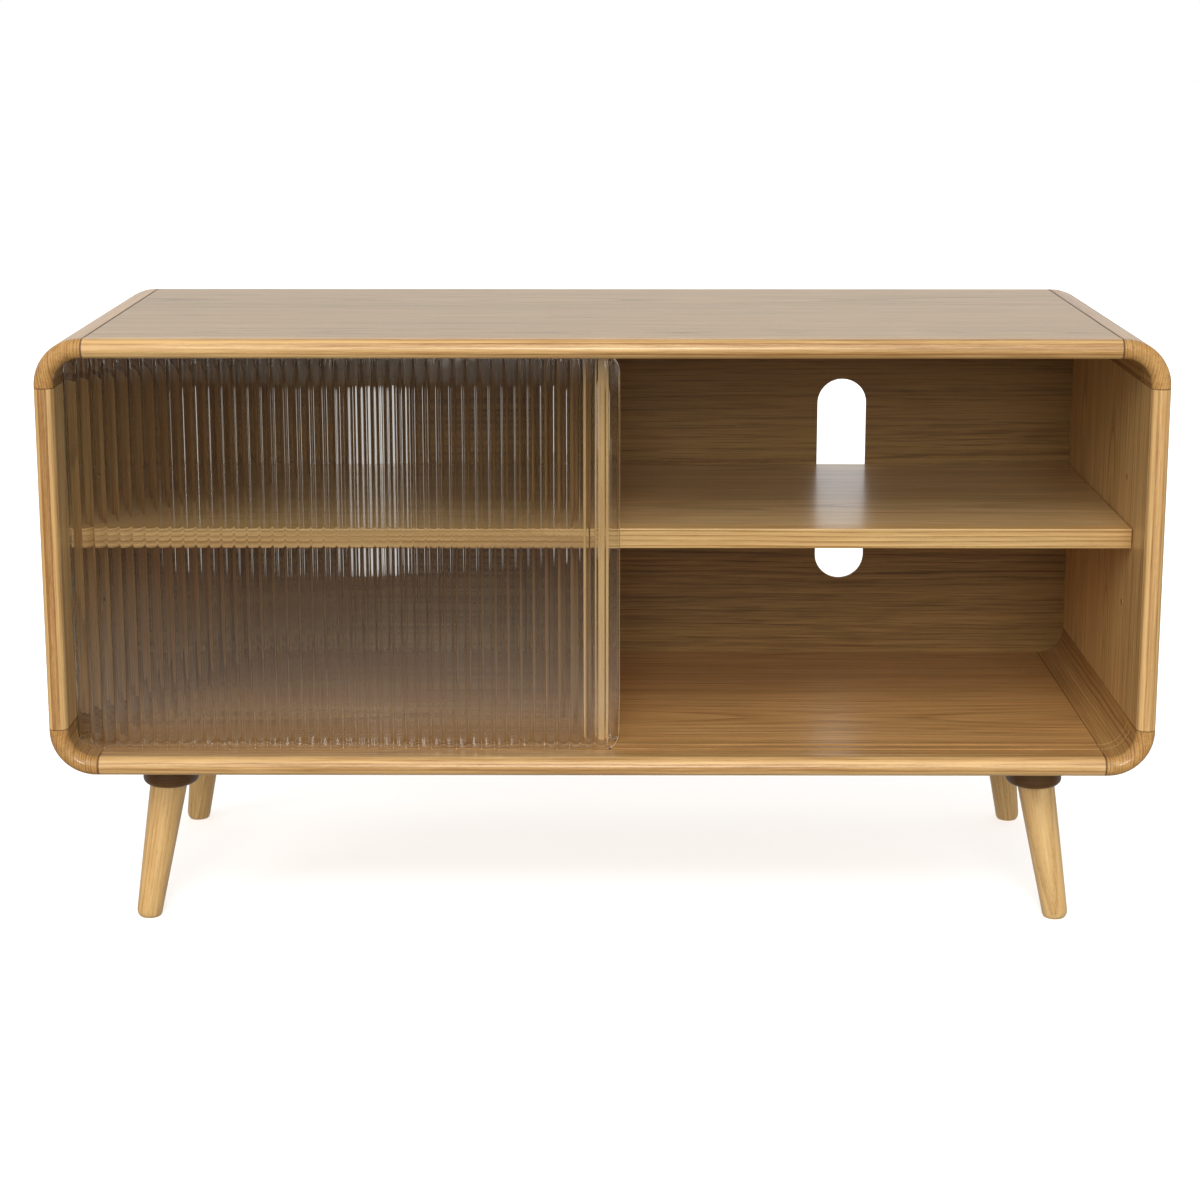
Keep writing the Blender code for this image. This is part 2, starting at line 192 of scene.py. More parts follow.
def lathe(name, profile, sides=48):
    """Turned piece about local Z; the profile is (radius, height), top to bottom."""
    bm = bmesh.new()
    rings = []
    for r, z in profile:
        if r < 1e-7:
            rings.append([bm.verts.new((0, 0, z))])
        else:
            rings.append([bm.verts.new((r * math.cos(2 * math.pi * i / sides),
                                        r * math.sin(2 * math.pi * i / sides), z))
                          for i in range(sides)])
    for a, b in zip(rings, rings[1:]):
        for i in range(sides):
            j = (i + 1) % sides
            if len(a) == 1 and len(b) == 1:
                continue
            if len(a) == 1:
                bm.faces.new((a[0], b[j], b[i]))
            elif len(b) == 1:
                bm.faces.new((a[i], a[j], b[0]))
            else:
                bm.faces.new((a[i], a[j], b[j], b[i]))
    return link(name, mesh_from(name, bm))


def along(start, direction):
    """Matrix whose +Z is the direction, at the start point."""
    return (Matrix.Translation(start)
            @ Vector(direction).to_track_quat("Z", "Y").to_matrix().to_4x4())


def as_cutter(obj):
    cutter_objects.append(obj)
    return obj


def cutter_box(name, low, high):
    return as_cutter(link(name, mesh_from(name, box_bm(low, high))))


def cutter_rod(name, start, end, radius, sides=24):
    start, end = Vector(start), Vector(end)
    half = (end - start).length / 2
    obj = lathe(name, [(0, half), (radius, half), (radius, -half), (0, -half)], sides)
    obj.matrix_world = along((start + end) / 2, end - start)
    return as_cutter(obj)


def cut(obj, *cutters):
    """Cuts the shapes out and keeps the plain mesh."""
    if cutters:
        for cutter in cutters:
            boolean = obj.modifiers.new("cut", "BOOLEAN")
            boolean.operation = "DIFFERENCE"
            boolean.solver = "EXACT"
            boolean.object = cutter
        bpy.context.view_layer.update()
        graph = bpy.context.evaluated_depsgraph_get()
        mesh = bpy.data.meshes.new_from_object(obj.evaluated_get(graph))
        obj.modifiers.clear()
        old = obj.data
        obj.data = mesh
        bpy.data.meshes.remove(old)
    return obj


def shade(obj, angle=30.0):
    obj.data.shade_smooth()
    obj.data.set_sharp_from_angle(angle=math.radians(angle))
    return obj


def shade_flats(obj, angle=30.0):
    """Smooth rounds that don't bend the light on the flats beside them."""
    shade(obj, angle)
    weighted = obj.modifiers.new("flats", "WEIGHTED_NORMAL")
    weighted.keep_sharp = True
    weighted.weight = 80
    bpy.context.view_layer.update()
    graph = bpy.context.evaluated_depsgraph_get()
    mesh = bpy.data.meshes.new_from_object(obj.evaluated_get(graph))
    obj.modifiers.clear()
    old = obj.data
    obj.data = mesh
    bpy.data.meshes.remove(old)
    return obj


def finish(obj, mat, node=None, body=None):
    obj.data.materials.clear()
    obj.data.materials.append(mat)
    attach(obj, body or BODY_OF[node])
    if node:
        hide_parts(node)
    return obj


# --------------------------------------------------------- node materials
class Nodes:
    """Short names for building a material's nodes."""

    def __init__(self, name):
        self.mat = bpy.data.materials.new(name)
        self.mat.use_nodes = True
        self.tree = self.mat.node_tree
        self.shader = self.tree.nodes["Principled BSDF"]

    def new(self, kind, **props):
        node = self.tree.nodes.new(kind)
        for key, value in props.items():
            setattr(node, key, value)
        return node

    def put(self, socket, value):
        if isinstance(value, bpy.types.NodeSocket):
            self.tree.links.new(value, socket)
        elif value is not None:
            socket.default_value = value

    def math(self, op, a, b=None, c=None, clamp=False):
        node = self.new("ShaderNodeMath", operation=op, use_clamp=clamp)
        for socket, value in zip(node.inputs, (a, b, c)):
            self.put(socket, value)
        return node.outputs[0]

    def add(self, a, b):
        return self.math("ADD", a, b)

    def mul(self, a, b):
        return self.math("MULTIPLY", a, b)

    def sub(self, a, b):
        return self.math("SUBTRACT", a, b)

    def xyz(self, x, y, z):
        node = self.new("ShaderNodeCombineXYZ")
        for socket, value in zip(node.inputs, (x, y, z)):
            self.put(socket, value)
        return node.outputs[0]

    def noise(self, vector, detail=2.0, roughness=0.5, distortion=0.0):
        node = self.new("ShaderNodeTexNoise", noise_dimensions="3D")
        self.put(node.inputs["Vector"], vector)
        node.inputs["Scale"].default_value = 1.0
        node.inputs["Detail"].default_value = detail
        node.inputs["Roughness"].default_value = roughness
        node.inputs["Distortion"].default_value = distortion
        return node.outputs["Fac"]

    def random(self, value):
        node = self.new("ShaderNodeTexWhiteNoise", noise_dimensions="1D")
        self.put(node.inputs["W"], value)
        split = self.new("ShaderNodeSeparateColor")
        self.put(split.inputs[0], node.outputs["Color"])
        return split.outputs[0], split.outputs[1], split.outputs[2]

    def remap(self, value, a, b, c=0.0, d=1.0, kind="LINEAR"):
        node = self.new("ShaderNodeMapRange", interpolation_type=kind, clamp=True)
        for socket, item in zip(node.inputs, (value, a, b, c, d)):
            self.put(socket, item)
        return node.outputs[0]

    def ramp(self, fac, stops, mode="LINEAR"):
        node = self.new("ShaderNodeValToRGB")
        self.put(node.inputs[0], fac)
        ramp = node.color_ramp
        ramp.interpolation = mode
        while len(ramp.elements) < len(stops):
            ramp.elements.new(0.5)
        for element, (place, colour) in zip(ramp.elements, stops):
            element.position = place
            element.color = ((*colour, 1.0) if isinstance(colour, tuple)
                             else (colour, colour, colour, 1.0))
        return node.outputs[0]

    def mix(self, fac, a, b, kind="MIX"):
        node = self.new("ShaderNodeMix", data_type="RGBA", blend_type=kind,
                        clamp_factor=True)
        self.put(node.inputs[0], fac)
        self.put(node.inputs[6], a if not isinstance(a, tuple) else (*a, 1.0))
        self.put(node.inputs[7], b if not isinstance(b, tuple) else (*b, 1.0))
        return node.outputs[2]

    def bump(self, height, distance, strength=1.0, normal=None):
        node = self.new("ShaderNodeBump")
        node.inputs["Strength"].default_value = strength
        node.inputs["Distance"].default_value = distance
        self.put(node.inputs["Height"], height)
        self.put(node.inputs["Normal"], normal)
        return node.outputs[0]

    def object_axes(self, turned=None):
        """turned is the matrix of a frame to measure in instead."""
        coords = self.new("ShaderNodeTexCoord")
        split = self.new("ShaderNodeSeparateXYZ")
        if turned is None:
            self.put(split.inputs[0], coords.outputs["Object"])
        else:
            place = self.new("ShaderNodeMapping")
            place.vector_type = "TEXTURE"
            place.inputs["Location"].default_value = turned.to_translation()
            place.inputs["Rotation"].default_value = turned.to_euler()
            self.put(place.inputs["Vector"], coords.outputs["Object"])
            self.put(split.inputs[0], place.outputs["Vector"])
        return split.outputs[0], split.outputs[1], split.outputs[2]


def wood(name, grain, across, light, dark, seed, ring=0.0055, ring_depth=0.55,
         pith=(0.05, 0.03), slope=0.0, depth=False, leaf=0.0, seam=0.0,
         wander=0.004, streak=0.5, pores=0.35, patch=0.35, roughness=0.40,
         coat=0.25, coat_roughness=0.22, bump=0.00012, lines=(), gap_shade_half=0.0010,
         tone=0.25, specular=0.5, fibre=1.5, gap_shade_dark=0.7,
         centre=0.55, turned=None):
    """Lacquered ash. grain and across are axis numbers of the object's own
    coordinates: the fibres run along grain. The growth rings are shells
    about a pith line at a distance from the surface, so that a long face
    shows stripes and arches and an end shows arcs. leaf is the width of the
    veneer leaves and seam is where one of their joints lies. lines are
    (axis, position) pairs, where the surface is painted near-black as the
    shade in the gap at a joint, with its sheen dulled."""
    n = Nodes(name)
    axes = n.object_axes(turned)
    third = 3 - grain - across
    g, c, t = axes[grain], axes[across], axes[third]
    g = n.add(g, seed * 1.37)
    tone_shift = None
    seam_mask = None
    if leaf:
        place = n.math("DIVIDE", n.sub(c, seam), leaf)
        number = n.math("FLOOR", place)
        part = n.math("FRACT", place)
        r0, r1, r2 = n.random(n.add(number, 7.31 + seed * 3.0))
        cc = n.mul(n.sub(part, 0.5), leaf)
        c0 = n.mul(n.sub(r0, 0.5), leaf * 2.0 * centre)
        cc = n.sub(cc, c0)
        g = n.add(g, n.mul(r1, 4.0))
        tone_shift = n.sub(r2, 0.5)
        edge = n.math("MINIMUM", part, n.sub(1.0, part))
        seam_mask = n.remap(n.mul(edge, leaf), 0.0002, 0.0007, 1.0, 0.0)
    else:
        cc = n.sub(c, pith[0])
    warp = n.noise(n.xyz(n.mul(g, 1.6), n.mul(c, 9.0), n.mul(t, 9.0)), 2.0, 0.5)
    warp2 = n.noise(n.xyz(n.mul(g, 9.0), n.mul(c, 40.0), n.mul(t, 40.0)), 1.0, 0.5)
    shift = n.add(n.mul(n.sub(warp, 0.5), wander * 4.0),
                  n.mul(n.sub(warp2, 0.5), wander * 0.5))
    cc = n.add(cc, shift)
    down = n.mul(n.sub(n.math("PINGPONG", n.mul(g, slope), 0.06), 0.0), 1.0) if slope else 0.0
    dd = n.add(down, pith[1])
    if depth:
        dd = n.add(dd, t)
    radius = n.math("SQRT", n.add(n.mul(cc, cc), n.mul(dd, dd)))
    turns = n.math("DIVIDE", radius, ring)
    uneven = n.noise(n.xyz(n.mul(turns, 0.45), 0.5, seed), 1.0)
    turns = n.add(turns, n.mul(uneven, 1.6))
    number = n.math("FLOOR", turns)
    phase = n.math("FRACT", turns)
    k0, k1, k2 = n.random(n.add(number, seed))
    early = n.ramp(phase, [(0.0, 0.55), (0.05, 1.0), (0.22, 0.62), (0.50, 0.16),
                           (0.90, 0.0), (1.0, 0.50)])
    early = n.mul(early, n.remap(k0, 0.0, 1.0, 0.35, 1.0))

    fine = n.noise(n.xyz(n.mul(g, 14.0), n.mul(c, 620.0), n.mul(t, 620.0)), 3.0, 0.6)
    streaks = n.noise(n.xyz(n.mul(g, 2.4), n.mul(c, 130.0), n.mul(t, 130.0)), 3.0, 0.55)
    patches = n.noise(n.xyz(n.mul(g, 1.3), n.mul(c, 11.0), n.mul(t, 11.0)), 2.0, 0.5)
    pore = n.noise(n.xyz(n.mul(g, 130.0), n.mul(c, 2300.0), n.mul(t, 2300.0)), 1.5, 0.5)
    pore_mask = n.remap(pore, 0.56, 0.68)
    pore_mask = n.mul(pore_mask, n.add(n.mul(early, 0.85), 0.22))

    value = n.mul(early, ring_depth)
    value = n.add(value, n.mul(n.sub(streaks, 0.5), streak * 2.2))
    value = n.add(value, n.mul(n.sub(fine, 0.5), fibre))
    value = n.add(value, n.mul(n.sub(patches, 0.5), patch * 1.6))
    if tone_shift is not None:
        value = n.add(value, n.mul(tone_shift, tone))
    value = n.add(value, 0.24)
    colour = n.mix(n.math("MINIMUM", n.math("MAXIMUM", value, 0.0), 1.0), light, dark)
    warm = n.noise(n.xyz(n.mul(g, 3.1), n.mul(c, 55.0), n.mul(t, 55.0)), 1.0)
    colour = n.mix(n.remap(warm, 0.35, 0.75, 0.0, 0.40), colour,
                   n.mix(1.0, colour, (1.0, 0.86, 0.70), "MULTIPLY"))
    colour = n.mix(n.mul(pore_mask, pores), colour,
                   n.mix(1.0, colour, (0.30, 0.22, 0.16), "MULTIPLY"))
    mask = seam_mask if seam_mask is not None else None
    if mask is not None:
        colour = n.mix(n.mul(mask, 0.45), colour,
                       n.mix(1.0, colour, (0.34, 0.26, 0.20), "MULTIPLY"))
    joints = 0.0
    # Painted shade: near-black brown along each joint line, standing for the shade in the gap between
    # the pieces.
    for axis, position in lines:
        far = n.math("ABSOLUTE", n.sub(n.math("ABSOLUTE", axes[axis]), abs(position)))
        line = n.remap(far, gap_shade_half * 0.55, gap_shade_half, 1.0, 0.0)
        colour = n.mix(n.mul(line, gap_shade_dark), colour, (0.085, 0.036, 0.012))
        joints = n.math("MAXIMUM", joints, line)

    height = n.sub(n.add(n.mul(fine, 0.35), n.mul(streaks, 0.15)), n.mul(pore_mask, 1.0))
    rough = n.add(n.add(roughness - 0.05, n.mul(fine, 0.07)), n.mul(pore_mask, 0.10))
    # The painted joint shade is made rough, so no sheen lies over it.
    rough = n.math("MAXIMUM", rough, n.mul(joints, 0.95))
    shader = n.shader
    n.put(shader.inputs["Base Color"], colour)
    n.put(shader.inputs["Roughness"], rough)
    n.put(shader.inputs["Normal"], n.bump(height, bump))
    shader.inputs["Specular IOR Level"].default_value = specular
    shader.inputs["IOR"].default_value = 1.5
    shader.inputs["Coat Weight"].default_value = coat
    shader.inputs["Coat Roughness"].default_value = coat_roughness
    return n.mat


def metal(name, colour, roughness, turned=0.0, seed=0.0):
    n = Nodes(name)
    x, y, z = n.object_axes()
    cloud = n.noise(n.xyz(n.mul(x, 400.0), n.mul(y, 400.0), n.mul(z, 400.0)), 3.0, 0.6)
    fine = n.noise(n.xyz(n.mul(x, 3000.0), n.mul(y, 3000.0), n.add(n.mul(z, 9000.0), seed)),
                   2.0, 0.6)
    n.put(n.shader.inputs["Base Color"],
          n.mix(n.remap(cloud, 0.35, 0.7), colour, tuple(0.72 * v for v in colour)))
    n.put(n.shader.inputs["Roughness"], n.add(roughness - 0.06, n.mul(cloud, 0.16)))
    n.put(n.shader.inputs["Normal"], n.bump(fine, 0.00002 + turned))
    n.shader.inputs["Metallic"].default_value = 1.0
    return n.mat


def reeded_glass(name):
    """Clear glass that lets lamps through, with a faint warm cast."""
    n = Nodes(name)
    shader = n.shader
    x, y, z = n.object_axes()
    wave = n.noise(n.xyz(n.mul(x, 22.0), n.mul(y, 22.0), n.mul(z, 7.0)), 1.0)
    shader.inputs["Base Color"].default_value = (0.975, 0.965, 0.945, 1.0)
    shader.inputs["Transmission Weight"].default_value = 1.0
    shader.inputs["IOR"].default_value = 1.5
    shader.inputs["Specular IOR Level"].default_value = 0.12
    n.put(shader.inputs["Roughness"], n.remap(wave, 0.3, 0.7, 0.004, 0.016))
    n.put(shader.inputs["Normal"], n.bump(wave, 0.00025))
    out = n.tree.nodes["Material Output"]
    path = n.new("ShaderNodeLightPath")
    clear = n.new("ShaderNodeBsdfTransparent")
    clear.inputs[0].default_value = (0.905, 0.907, 0.905, 1.0)
    both = n.new("ShaderNodeMixShader")
    n.put(both.inputs[0], n.math("MAXIMUM", path.outputs["Is Shadow Ray"],
                                 path.outputs["Is Diffuse Ray"]))
    n.put(both.inputs[1], shader.outputs[0])
    n.put(both.inputs[2], clear.outputs[0])
    n.put(out.inputs["Surface"], both.outputs[0])
    return n.mat


# Strengths of the studio light
LOW_KEY, HIGH_KEY, SIDE_FILL, EDGE, FLOOR = 1.05, 0.92, 0.43, 1.0, 2.0
ABOVE, BELOW, REAR, DIM, THROUGH, VEIL = 0.56, 0.34, 0.80, 0.15, 0.32, 1.0

# Finish colours (linear)
TOP_L, TOP_D = (0.44, 0.290, 0.128), (0.19, 0.110, 0.038)
VEN_L, VEN_D = (0.66, 0.385, 0.145), (0.27, 0.132, 0.038)
SHELF_L, SHELF_D = (0.74, 0.515, 0.250), (0.32, 0.188, 0.070)
SIDE_L, SIDE_D = (0.85, 0.570, 0.240), (0.34, 0.188, 0.058)
BACK_L, BACK_D = (0.34, 0.200, 0.060), (0.12, 0.062, 0.015)
LIP_L, LIP_D = (0.66, 0.430, 0.185), (0.30, 0.150, 0.045)
STRIP_L, STRIP_D = (0.75, 0.495, 0.205), (0.40, 0.215, 0.062)
BLOCK_L, BLOCK_D = (0.51, 0.300, 0.105), (0.22, 0.096, 0.027)
LEG_L, LEG_D = (0.84, 0.560, 0.240), (0.56, 0.320, 0.108)
# The collars are the legs' ash darkened to near-black brown: painted shade for the shadow under the
# carcass.
COLLAR_PAINTED_SHADE_L, COLLAR_PAINTED_SHADE_D = (0.16, 0.080, 0.025), (0.09, 0.040, 0.011)

GRAIN_X, GRAIN_Y, GRAIN_Z = 0, 1, 2
mat_brass = metal("brass_satin", (0.80, 0.62, 0.33), 0.30)
mat_steel = metal("zinc_plated_steel", (0.66, 0.65, 0.62), 0.33)
mat_glass = reeded_glass("reeded_glass")


# --------------------------------------------------------------- cutters
rabbet = as_cutter(prism(
    "rabbet_cutter", rounded(-IN_X - RABBET - GAP, IN_Z0 - RABBET - GAP,
                             IN_X + RABBET + GAP, IN_Z1 + RABBET + GAP,
                             FILLET_R + RABBET + GAP),
    BACK_Y - GAP, HY + 0.010))
tracks = [as_cutter(prism(
    "track_cutter_" + side,
    rounded(-IN_X - 0.0004, IN_Z0 - TRACK_LOW, IN_X + 0.0004, IN_Z1 + TRACK_HIGH,
            DOOR_R + 0.002), y - TRACK_W / 2, y + TRACK_W / 2))
    for side, y in TRACK_Y.items()]
dado = cutter_box("dado_cutter", (-DIV_X - GAP, INNER_FRONT - GAP, IN_Z0 - DADO - GAP),
                  (DIV_X + GAP, BACK_Y, IN_Z1 + DADO + GAP))
tongues = {}
for name in CAD:
    if name.startswith("tongue_"):
        a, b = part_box(name)
        grow = Vector((0.0003, 0.0003, 0.0003))
        tongues[name[7:]] = cutter_box("slot_" + name, a - grow, b + grow)

# ---------------------------------------------------------- top and bottom


def rear_outer(level):
    def pick(a, b):
        return all(abs(p.y - HY) < 1e-5 and abs(p.z - level) < 1e-5 for p in (a, b))
    return pick


top = board("top_panel_board", (-FLAT_X, STRIP_Y + GAP, IN_Z1), (FLAT_X, HY, Z1),
            rear_outer(Z1), 0.0008)
cut(top, *tracks, rabbet, dado, tongues["top_left_flat"], tongues["top_right_flat"])
finish(shade_flats(top), wood(
    "veneer_top", GRAIN_X, GRAIN_Y, TOP_L, TOP_D, 1.0, ring=0.0062, pith=(0, 0.018),
    slope=0.035, leaf=0.226, seam=-0.006, ring_depth=0.50, lines=[(0, FLAT_X)],
    gap_shade_half=0.0027, gap_shade_dark=0.97, fibre=1.7, roughness=0.42, coat=0.20,
    coat_roughness=0.30), "top_panel")

bottom = board("bottom_panel_board", (-FLAT_X, STRIP_Y + GAP, Z0), (FLAT_X, HY, IN_Z0),
               rear_outer(Z0), 0.0008)
cut(bottom, *tracks, rabbet, dado, tongues["bottom_left_flat"], tongues["bottom_right_flat"])
finish(shade_flats(bottom), wood(
    "veneer_bottom", GRAIN_X, GRAIN_Y, VEN_L, VEN_D, 2.6, ring=0.0058, pith=(0, 0.02),
    slope=0.03, leaf=0.226, seam=0.062, ring_depth=0.5, lines=[(0, FLAT_X)]),
    "bottom_panel")

# Cross-section of a lipping: thickness t from the inside out, and depth y.


def nose_profile(y_rear, ease=0.0):
    points = [(0.0, y_rear)]
    points += [(NOSE - NOSE * math.sin(math.radians(a)), -HY + NOSE - NOSE * math.cos(math.radians(a)))
               for a in [90 - 90 * i / 14 for i in range(15)]]
    points += [(BOARD - NOSE + NOSE * math.sin(math.radians(a)),
                -HY + NOSE - NOSE * math.cos(math.radians(a)))
               for a in [90 * i / 14 for i in range(15)]]
    if ease:
        points += [(BOARD - ease + ease * math.cos(math.radians(a)),
                    y_rear - ease + ease * math.sin(math.radians(a))) for a in (0, 30, 60, 90)]
    else:
        points.append((BOARD, y_rear))
    return points


def straight(start, end, out, count=1):
    """Placements along a straight run; out is the direction of thickness."""
    start, end, out = Vector(start), Vector(end), Vector(out)
    return [lambda t, y, p=start.lerp(end, i / count): p + out * t + Vector((0, y, 0))
            for i in range(count + 1)]


strip = nose_profile(STRIP_Y)
lip = sweep("lipping_top_strip", strip, straight((-FLAT_X, 0, IN_Z1), (FLAT_X, 0, IN_Z1), (0, 0, 1)))
finish(shade_flats(lip), wood(
    "ash_lip_top", GRAIN_X, GRAIN_Z, LIP_L, LIP_D, 3.3, ring=0.0044, pith=(0.62, -0.19),
    depth=True, slope=0.0, wander=0.006, streak=0.6, lines=[(0, FLAT_X)], patch=0.6,
    ring_depth=0.85, gap_shade_half=0.0019, gap_shade_dark=0.85, roughness=0.40, coat=0.16, coat_roughness=0.14,
    specular=0.30), "lipping_top")
lip = sweep("lipping_bottom_strip", strip, straight((-FLAT_X, 0, IN_Z0), (FLAT_X, 0, IN_Z0), (0, 0, -1)))
finish(shade_flats(lip), wood(
    "ash_lip_bottom", GRAIN_X, GRAIN_Z, LIP_L, LIP_D, 4.9, ring=0.0050, pith=(0.16, -0.20),
    depth=True, wander=0.007, streak=0.6, lines=[(0, FLAT_X)], patch=0.6,
    ring_depth=0.85, gap_shade_half=0.0019, gap_shade_dark=0.85, roughness=0.40, coat=0.16, coat_roughness=0.14,
    specular=0.30), "lipping_bottom")

# ------------------------------------------------------------------ sides
for sx, side in ((-1, "left"), (1, "right")):
    lip = sweep("lipping_%s_strip" % side, strip,
                straight((sx * IN_X, 0, UP_Z0), (sx * IN_X, 0, UP_Z1), (sx, 0, 0)))
    finish(shade_flats(lip), wood(
        "ash_lip_" + side, GRAIN_Z, GRAIN_X, LIP_L, LIP_D, 5.7 + sx, ring=0.0065,
        pith=(sx * 0.565, -0.20), depth=True, wander=0.006, streak=0.5, patch=0.5,
        lines=[(2, UP_Z0), (2, UP_Z1)], ring_depth=0.85, roughness=0.40, coat=0.16,
        coat_roughness=0.14, specular=0.30),
        "lipping_" + side)
    x0, x1 = sorted((sx * HX, sx * IN_X))

    def rear_side(a, b, x=sx * HX):
        return all(abs(p.y - HY) < 1e-5 and abs(p.x - x) < 1e-5 for p in (a, b))

    panel = board("side_panel_%s_board" % side, (x0, STRIP_Y + GAP, UP_Z0), (x1, HY, UP_Z1),
                  rear_side, 0.0008)
    holes = []
    for y in (-0.117, 0.185):
        for row in (-1, 0, 1):
            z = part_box("shelf_pin_%s_outer_front" % side)
            z = (z[0].z + z[1].z) / 2 + row * PIN_ROW
            holes.append(cutter_rod("pin_hole", (sx * (IN_X + 0.009), y, z),
                                    (sx * (IN_X - 0.004), y, z), PIN_HOLE_R))
    screws = [cutter_rod("screw_hole", (sx * (IN_X + RABBET / 2), BACK_Y - 0.014, z),
                         (sx * (IN_X + RABBET / 2), HY + 0.005, z), 0.0018, 16)
              for z in (0.305, 0.537)]
    cut(panel, rabbet, tongues["top_%s_upright" % side], tongues["bottom_%s_upright" % side],
        *holes, *screws)
    finish(shade_flats(panel), wood(
        "veneer_side_" + side, GRAIN_Z, GRAIN_Y, SIDE_L, SIDE_D, 8.2 + sx * 0.7, ring=0.0066,
        pith=(0, 0.015), slope=0.07, leaf=0.175, seam=-0.114, ring_depth=0.55,
        lines=[(2, UP_Z0), (2, UP_Z1)]), "side_panel_" + side)

# ---------------------------------------------------------- corner blocks
block_profile = nose_profile(HY, 0.0008)
for sx, side in ((-1, "left"), (1, "right")):
    for sz, zone in ((1, "top"), (-1, "bottom")):
        cx = sx * (HX - CORNER_R)
        cz = Z1 - CORNER_R if sz > 0 else Z0 + CORNER_R
        steps = 32

        def placed(step, cx=cx, cz=cz, sx=sx, sz=sz, steps=steps):
            if step < 0:
                away, offset = 0.0, CORNER_LEG - CORNER_R
            elif step > steps:
                away, offset = 90.0, -(CORNER_LEG - CORNER_R)
            else:
                away, offset = 90.0 * step / steps, 0.0
            c, s = math.cos(math.radians(away)), math.sin(math.radians(away))
            out = Vector((sx * c, 0, sz * s))
            tangent = Vector((sx * s, 0, -sz * c))
            base = Vector((cx, 0, cz)) + out * FILLET_R + tangent * offset
            return lambda t, y: base + out * t + Vector((0, y, 0))

        block = sweep("corner_%s_%s_block" % (zone, side), block_profile,
                      [placed(i) for i in range(-1, steps + 2)])
        key = "%s_%s" % (zone, side)
        cut(block, *tracks, rabbet, tongues[key + "_flat"], tongues[key + "_upright"])
        finish(shade_flats(block, 35), wood(
            "ash_corner_" + key, GRAIN_Y, GRAIN_X, BLOCK_L, BLOCK_D,
            11.0 + sx * 1.7 + sz * 0.9, ring=0.0028,
            pith=(sx * (HX - 0.175), -(cz + sz * 0.030)), depth=True, wander=0.0022,
            streak=0.45, pores=0.45, patch=0.7, ring_depth=0.78, fibre=1.0, bump=0.00008,
            roughness=0.40, coat=0.20, coat_roughness=0.10, specular=0.16),
            "corner_" + key)

# ---------------------------------------------------------------- divider
divider = board("divider_board", (-DIV_X, INNER_FRONT + LIPPING + GAP, DIV_Z0),
                (DIV_X, BACK_Y - GAP, DIV_Z1))
holes = []
pin_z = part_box("shelf_pin_left_inner_front")
pin_z = (pin_z[0].z + pin_z[1].z) / 2
for sx in (-1, 1):
    for y in (-0.117, 0.185):
        for row in (-1, 0, 1):
            z = pin_z + row * PIN_ROW
            holes.append(cutter_rod("pin_hole", (sx * (DIV_X - 0.0075), y, z),
                                    (sx * (DIV_X + 0.004), y, z), PIN_HOLE_R))
for z in (0.305, 0.537):
    holes.append(cutter_rod("screw_hole", (0, BACK_Y - 0.014, z), (0, HY + 0.005, z), 0.0018, 16))
cut(divider, *holes)
finish(shade_flats(divider), wood(
    "veneer_divider", GRAIN_Z, GRAIN_Y, SIDE_L, SIDE_D, 14.3, ring=0.006, pith=(0, 0.02),
    slope=0.06, leaf=0.19, seam=-0.02), "divider")


def front_edges(y):
    def pick(a, b):
        return abs(a.y - y) < 1e-5 and abs(b.y - y) < 1e-5 and (b - a).length > 0.03
    return pick


strip_obj = board("divider_lipping_strip", (-DIV_X, INNER_FRONT, DIV_Z0),
                  (DIV_X, INNER_FRONT + LIPPING, DIV_Z1), front_edges(INNER_FRONT), 0.0012, 5)
# Painted light: this lipping's ash is brighter than the other lippings' to make up for the light it
# loses behind the glass.
finish(shade_flats(strip_obj), wood(
    "ash_divider_strip_painted_light", GRAIN_Z, GRAIN_X, (0.88, 0.60, 0.27), (0.50, 0.28, 0.09), 15.1, ring=0.005,
    pith=(0.012, -0.10), depth=False, wander=0.004), "divider_lipping")

# ------------------------------------------------------------- back panel
slot_x, slot_z, slot_w, slot_h = 0.2955, 0.4235, 0.060, 0.252


